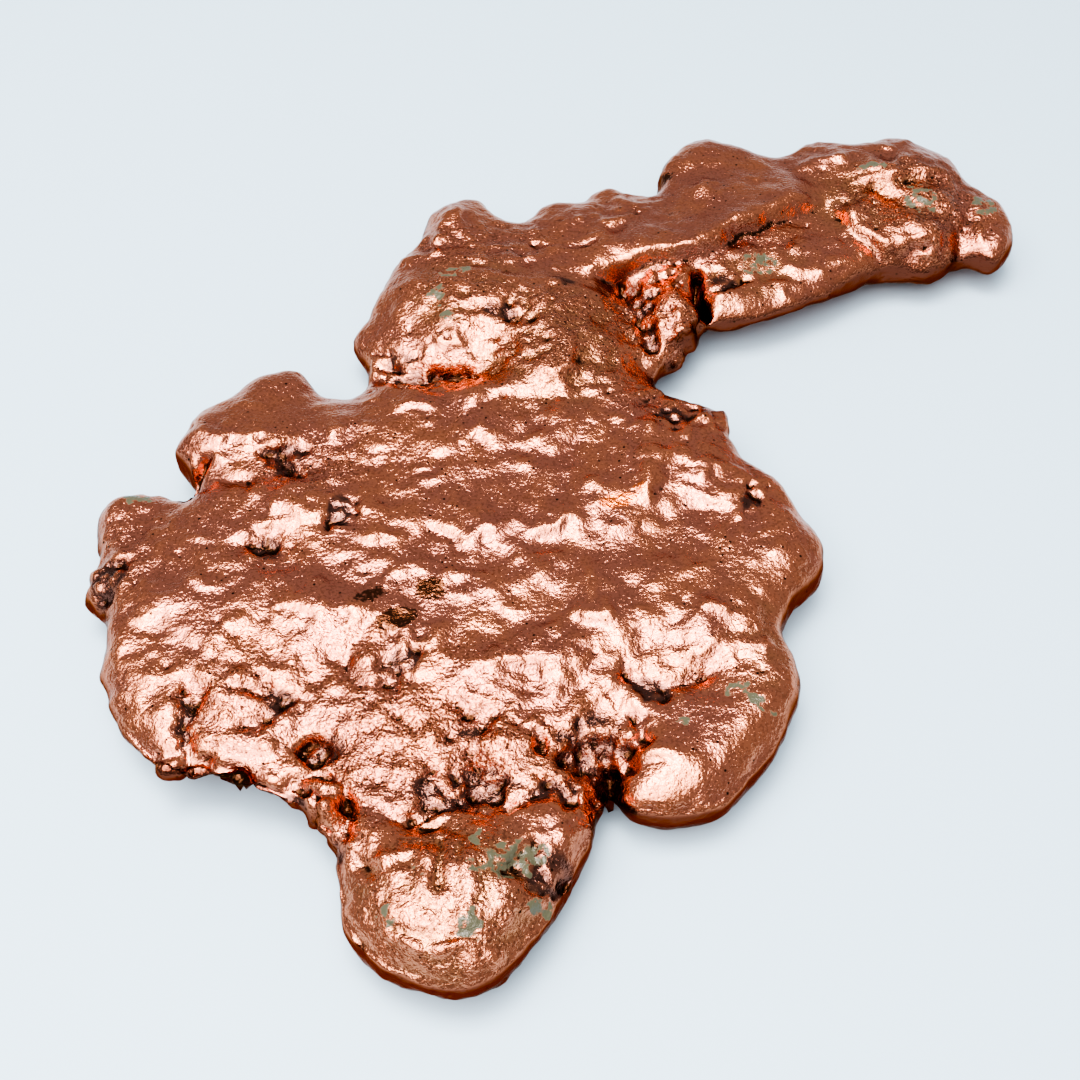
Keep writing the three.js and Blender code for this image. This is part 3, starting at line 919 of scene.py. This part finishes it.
@dataclass(frozen=True)
class WornCopper:
    """Finish of the metal: pink-brown copper, brighter on crests, dark red in scars; painted shade darkens
    the scars' hollows, the deepest hollows, the pinholes and the steep walls.
    """

    name: str = "worn_copper"
    fresh: Colour = (0.67, 0.238, 0.126)
    # wall_shade: a darker colour on the steep walls, painted shade.
    wall_shade: Colour = (0.145, 0.045, 0.027)
    sheen: Colour = (0.95, 0.86, 0.82)
    # edge: a darker reflection tint on the steep walls, painted shade; sheen is the tint elsewhere.
    edge: Colour = (0.48, 0.32, 0.26)
    tarnish: Coat = Coat((0.56, 0.202, 0.128), 0.55, 0.95, 0.6)
    gold: Coat = Coat((0.60, 0.25, 0.11), 0.7, 1.1, 0.8)
    dust: Coat = Coat((0.26, 0.085, 0.045), 0.50, 0.60)
    ember: Coat = Coat((0.90, 0.22, 0.07), 0.75, 1.05, 0.6)
    stain: Coat = Coat((0.11, 0.04, 0.02), 0.78, 1.0, 0.6)
    # red: the scars' own dark red, darkened further in their hollows as painted shade.
    red: Coat = Coat((0.16, 0.07, 0.052), 0.9, 1.5, 0.8)
    # hollow_shade: near-black painted shade in the deepest hollows and pits, not a coat on the metal.
    hollow_shade: Coat = Coat((0.05, 0.02, 0.01), 0.95, 1.15, 0.3)
    # pinhole_shade: near-black dots of painted shade that stand for pinholes; no hole is cut.
    pinhole_shade: Coat = Coat((0.05, 0.02, 0.01), 0.84, 0.90, 0.5)
    film: Coat = Coat((0.085, 0.08, 0.048), 0.95, 1.03, 0.5)
    roughness: float = 0.16
    broad: Noise = Noise(160.0, 3.0)
    fine: Noise = Noise(2300.0, 3.0)
    finest: Noise = Noise(5200.0, 2.0)
    grit: Noise = Noise(2600.0, 2.0)
    grains: Noise = Noise(2900.0, 2.0)
    flakes: Noise = Noise(900.0, 6.0)
    clusters: Noise = Noise(260.0, 2.0)
    speck_scale: float = 1100.0
    grit_band: Band = (0.80, 0.56)
    speck_rim: Band = (0.22, 0.10)
    bump_depth: float = 0.07
    finest_share: float = 0.15
    grit_share: float = 0.9
    rough_share: float = 1.6

    def build(self) -> bpy.types.Material:
        """Makes the material.

        Returns:
            The material, with its node tree laid out.
        """
        material = bpy.data.materials.new(self.name)
        material.use_nodes = True
        tree = material.node_tree
        tree.nodes.clear()
        out = tree.nodes.new("ShaderNodeOutputMaterial")
        metal = tree.nodes.new("ShaderNodeBsdfPrincipled")
        metal.inputs["Roughness"].default_value = self.roughness
        tree.links.new(metal.outputs["BSDF"], out.inputs["Surface"])
        place = tree.nodes.new("ShaderNodeTexCoord").outputs["Object"]
        names = ("hollow", "scar", "side", "crust", *PATCHES)
        marks = {name: self._attribute(tree, name) for name in names}
        fine = self._noise(tree, place, self.fine)
        film = self._spread(tree, self.film, self._noise(tree, place, self.flakes), marks["film"])
        colour = self._blend(tree, film, self._colour(tree, place, marks, fine), self.film.colour)
        # Painted shade: the steep walls get the darker reflection tint.
        tint = self._blend(tree, marks["side"], self.sheen, self.edge)
        tree.links.new(colour, metal.inputs["Base Color"])
        tree.links.new(tint, metal.inputs["Specular Tint"])
        tree.links.new(self._bare(tree, film), metal.inputs["Metallic"])
        tree.links.new(self._relief(tree, place, marks["crust"], fine), metal.inputs["Normal"])
        return material

    def _colour(self, tree: Tree, place: Socket, marks: dict[str, Socket], fine: Socket) -> Socket:
        """Lays the metal's coats over each other, from fresh copper to the painted shade in deep hollows
        and pinholes.

        Args:
            tree: Node tree that is being laid out.
            place: Place on the object.
            marks: The vertices' marks by name.
            fine: The fine noise.

        Returns:
            The metal's colour.
        """
        hollow = marks["hollow"]
        broad = self._noise(tree, place, self.broad)
        tarnish = self._spread(tree, self.tarnish, broad, hollow)
        gold = self._product(tree, self._spread(tree, self.gold, broad, hollow), marks["gold"])
        powder = self._band(tree, self._noise(tree, place, self.grains), self.dust.low, self.dust.high)
        coats = (
            (tarnish, self.tarnish.colour),
            (gold, self.gold.colour),
            (self._product(tree, powder, marks["crust"]), self.dust.colour),
            (self._spread(tree, self.ember, fine, marks["ember"]), self.ember.colour),
            (self._spread(tree, self.stain, fine, marks["stain"]), self.stain.colour),
            # Painted shade: the steep walls darkened.
            (marks["side"], self.wall_shade),
            # Dark red in the scars, deepest in their hollows, where it is painted shade.
            (self._spread(tree, self.red, marks["scar"], hollow), self.red.colour),
            # Painted shade: near black in the deepest hollows.
            (self._spread(tree, self.hollow_shade, hollow, fine), self.hollow_shade.colour),
            # Painted shade: dark dots for the pinholes.
            (self._painted_pinholes(tree, place), self.pinhole_shade.colour),
        )
        colour = self.fresh
        for mask, coat in coats:
            colour = self._blend(tree, mask, colour, coat)
        return colour

    def _relief(self, tree: Tree, place: Socket, crust: Socket, fine: Socket) -> Socket:
        """Roughens the surface with grain, and with grit in the crust.

        Args:
            tree: Node tree that is being laid out.
            place: Place on the object.
            crust: How crusted the place is.
            fine: The fine noise.

        Returns:
            The roughened normal.
        """
        bump = tree.nodes.new("ShaderNodeBump")
        bump.inputs["Strength"].default_value = 1.0
        bump.inputs["Distance"].default_value = self.bump_depth * MM
        grit = self._band(tree, self._noise(tree, place, self.grit), *self.grit_band)
        grain = self._sum(tree, fine, self._noise(tree, place, self.finest), self.finest_share)
        rough = self._product(tree, self._sum(tree, grain, grit, self.grit_share), crust)
        tree.links.new(self._sum(tree, grain, rough, self.rough_share), bump.inputs["Height"])
        return bump.outputs["Normal"]

    def _painted_pinholes(self, tree: Tree, place: Socket) -> Socket:
        """Scatters the painted shade of pinholes: dark dots about a fifth of a millimetre wide, with no
        hole cut.

        Args:
            tree: Node tree that is being laid out.
            place: Place on the object.

        Returns:
            A mask that is 1 where a pinhole's shade is painted.
        """
        cells = tree.nodes.new("ShaderNodeTexVoronoi")
        cells.inputs["Scale"].default_value = self.speck_scale
        tree.links.new(place, cells.inputs["Vector"])
        near = self._band(tree, cells.outputs["Distance"], *self.speck_rim)
        clusters = self._noise(tree, place, self.clusters)
        return self._product(tree, near, self._spread(tree, self.pinhole_shade, clusters, cells.outputs["Color"]))

    def _spread(self, tree: Tree, coat: Coat, first: Socket, second: Socket) -> Socket:
        """Finds where a coat lies.

        Args:
            tree: Node tree that is being laid out.
            coat: The coat.
            first: Value that is kept whole.
            second: Value of which the coat's share is added.

        Returns:
            The coat's mask.
        """
        return self._band(tree, self._sum(tree, first, second, coat.share), coat.low, coat.high)

    @staticmethod
    def _bare(tree: Tree, film: Socket) -> Socket:
        """Finds the metal that no film covers.

        Args:
            tree: Node tree that is being laid out.
            film: The film's mask.

        Returns:
            A mask that is 1 on bare metal.
        """
        node = tree.nodes.new("ShaderNodeMath")
        node.operation = "SUBTRACT"
        node.inputs[0].default_value = 1.0
        tree.links.new(film, node.inputs[1])
        return node.outputs[0]

    @staticmethod
    def _attribute(tree: Tree, name: str) -> Socket:
        """Reads a mark from the vertices.

        Args:
            tree: Node tree that is being laid out.
            name: Name of the mark.

        Returns:
            The mark's value.
        """
        node = tree.nodes.new("ShaderNodeAttribute")
        node.attribute_name = name
        return node.outputs["Fac"]

    @staticmethod
    def _noise(tree: Tree, place: Socket, noise: Noise) -> Socket:
        """Noise in the object's own space.

        Args:
            tree: Node tree that is being laid out.
            place: Place on the object.
            noise: Scale and detail of the noise.

        Returns:
            A value from about 0 to 1.
        """
        node = tree.nodes.new("ShaderNodeTexNoise")
        node.inputs["Scale"].default_value = noise.scale
        node.inputs["Detail"].default_value = noise.detail
        tree.links.new(place, node.inputs["Vector"])
        return node.outputs["Fac"]

    @staticmethod
    def _product(tree: Tree, first: Socket, second: Socket) -> Socket:
        """Multiplies two values.

        Args:
            tree: Node tree that is being laid out.
            first: One value.
            second: The other value.

        Returns:
            Their product.
        """
        node = tree.nodes.new("ShaderNodeMath")
        node.operation = "MULTIPLY"
        tree.links.new(first, node.inputs[0])
        tree.links.new(second, node.inputs[1])
        return node.outputs[0]

    @staticmethod
    def _sum(tree: Tree, first: Socket, second: Socket, share: float) -> Socket:
        """Adds a share of the second value to the first.

        Args:
            tree: Node tree that is being laid out.
            first: Value that is kept whole.
            second: Value that is added.
            share: How much of the second value is added.

        Returns:
            The sum.
        """
        node = tree.nodes.new("ShaderNodeMath")
        node.operation = "MULTIPLY_ADD"
        tree.links.new(second, node.inputs[0])
        node.inputs[1].default_value = share
        tree.links.new(first, node.inputs[2])
        return node.outputs[0]

    @staticmethod
    def _band(tree: Tree, value: Socket, low: float, high: float) -> Socket:
        """Makes a smooth mask out of a value.

        Args:
            tree: Node tree that is being laid out.
            value: The value.
            low: Where the mask is 0.
            high: Where the mask is 1; it may lie below low.

        Returns:
            The mask.
        """
        node = tree.nodes.new("ShaderNodeMapRange")
        node.interpolation_type = "SMOOTHSTEP"
        node.inputs["From Min"].default_value = low
        node.inputs["From Max"].default_value = high
        tree.links.new(value, node.inputs["Value"])
        return node.outputs["Result"]

    @staticmethod
    def _blend(tree: Tree, mask: Socket, first: Colour | Socket, second: Colour | Socket) -> Socket:
        """Mixes two colours by a mask.

        Args:
            tree: Node tree that is being laid out.
            mask: 0 shows the first colour and 1 the second.
            first: A plain colour or a socket.
            second: A plain colour or a socket.

        Returns:
            The mixed colour.
        """
        node = tree.nodes.new("ShaderNodeMix")
        node.data_type = "RGBA"
        tree.links.new(mask, node.inputs[0])
        for slot, colour in ((6, first), (7, second)):
            if isinstance(colour, Socket):
                tree.links.new(colour, node.inputs[slot])
            else:
                node.inputs[slot].default_value = (*colour, 1.0)
        return node.outputs[2]


@dataclass(frozen=True)
class PaleTable:
    """Finish of the table: a smooth pale blue-grey board."""

    name: str = "pale_table"
    colour: Colour = (0.505, 0.64, 0.74)
    roughness: float = 0.55

    def build(self) -> bpy.types.Material:
        """Makes the material.

        Returns:
            The material.
        """
        material = bpy.data.materials.new(self.name)
        material.use_nodes = True
        board = material.node_tree.nodes["Principled BSDF"]
        board.inputs["Base Color"].default_value = (*self.colour, 1.0)
        board.inputs["Roughness"].default_value = self.roughness
        return material


@dataclass(frozen=True)
class Lamp:
    """A square soft lamp that faces down: its middle and side in metres, and its power in watts."""

    name: str
    place: tuple[float, float, float]
    size: float
    power: float

    def hang(self) -> None:
        """Puts the lamp over the table."""
        lamp = bpy.data.lights.new(self.name, "AREA")
        lamp.size = self.size
        lamp.energy = self.power
        panel = bpy.data.objects.new(self.name, lamp)
        panel.location = self.place
        bpy.context.scene.collection.objects.link(panel)


@dataclass
class Studio:
    """The table under the nugget, the soft light over it and the camera in front of it."""

    aim: tuple[float, float] = (-DRAWN_MIDDLE[0], -DRAWN_MIDDLE[1])
    elevation: float = 52.0
    view_angle: float = 40.0
    view_width: float = 130.0
    table_size: float = 3.0
    table_gap: float = 0.0001
    room_colour: Colour = (0.86, 0.92, 1.0)
    room_strength: float = 0.52
    lamps: tuple[Lamp, ...] = (
        Lamp("softbox", (-0.2, -0.25, 0.6), 0.76, 11.0),
        Lamp("small_panel", (-0.08, 0.0, 0.59), 0.22, 2.4),
    )

    def build(self) -> None:
        """Sets the table, light and camera."""
        self._table()
        self._light()
        self._camera()

    def _table(self) -> None:
        """Lays the table just under the nugget's feet."""
        half = self.table_size / 2
        mesh = bpy.data.meshes.new("table")
        corners = [(-half, -half, 0), (half, -half, 0), (half, half, 0), (-half, half, 0)]
        mesh.from_pydata(corners, [], [(0, 1, 2, 3)])
        table = bpy.data.objects.new("table", mesh)
        table.location.z = -self.table_gap
        bpy.context.scene.collection.objects.link(table)
        mesh.materials.append(PaleTable().build())

    def _light(self) -> None:
        """Hangs the lamps, fills the room with pale light and sets how light turns into tones."""
        scene = bpy.context.scene
        world = bpy.data.worlds.new("room")
        world.use_nodes = True
        room = world.node_tree.nodes["Background"]
        room.inputs["Color"].default_value = (*self.room_colour, 1.0)
        room.inputs["Strength"].default_value = self.room_strength
        scene.world = world
        scene.view_settings.view_transform = "AgX"
        scene.view_settings.look = "AgX - High Contrast"
        for lamp in self.lamps:
            lamp.hang()

    def _camera(self) -> None:
        """Places the camera in front of the nugget, looking down at it."""
        scene = bpy.context.scene
        half = math.radians(self.view_angle) / 2
        distance = self.view_width / 2 / math.tan(half) * MM
        lean = math.radians(self.elevation)
        target = Vector((self.aim[0] * MM, self.aim[1] * MM, 0.0))
        lens = bpy.data.cameras.new("camera")
        lens.angle = math.radians(self.view_angle)
        lens.clip_start = 0.01
        camera = bpy.data.objects.new("camera", lens)
        camera.location = target + Vector((0.0, -math.cos(lean), math.sin(lean))) * distance
        camera.rotation_euler = (math.pi / 2 - lean, 0.0, 0.0)
        scene.collection.objects.link(camera)
        scene.camera = camera


def main() -> None:
    logging.basicConfig(level=logging.INFO, format="%(name)s: %(message)s")
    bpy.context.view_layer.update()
    nugget = Nugget().build()
    nugget.data.materials.append(WornCopper().build())
    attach(nugget, "root")
    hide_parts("nugget")
    LOG.info("%s: %d triangles on the root body", nugget.name, len(nugget.data.polygons))
    Studio().build()
    LOG.info("studio: table, lamps and camera in place")


if __name__ == "__main__":
    main()
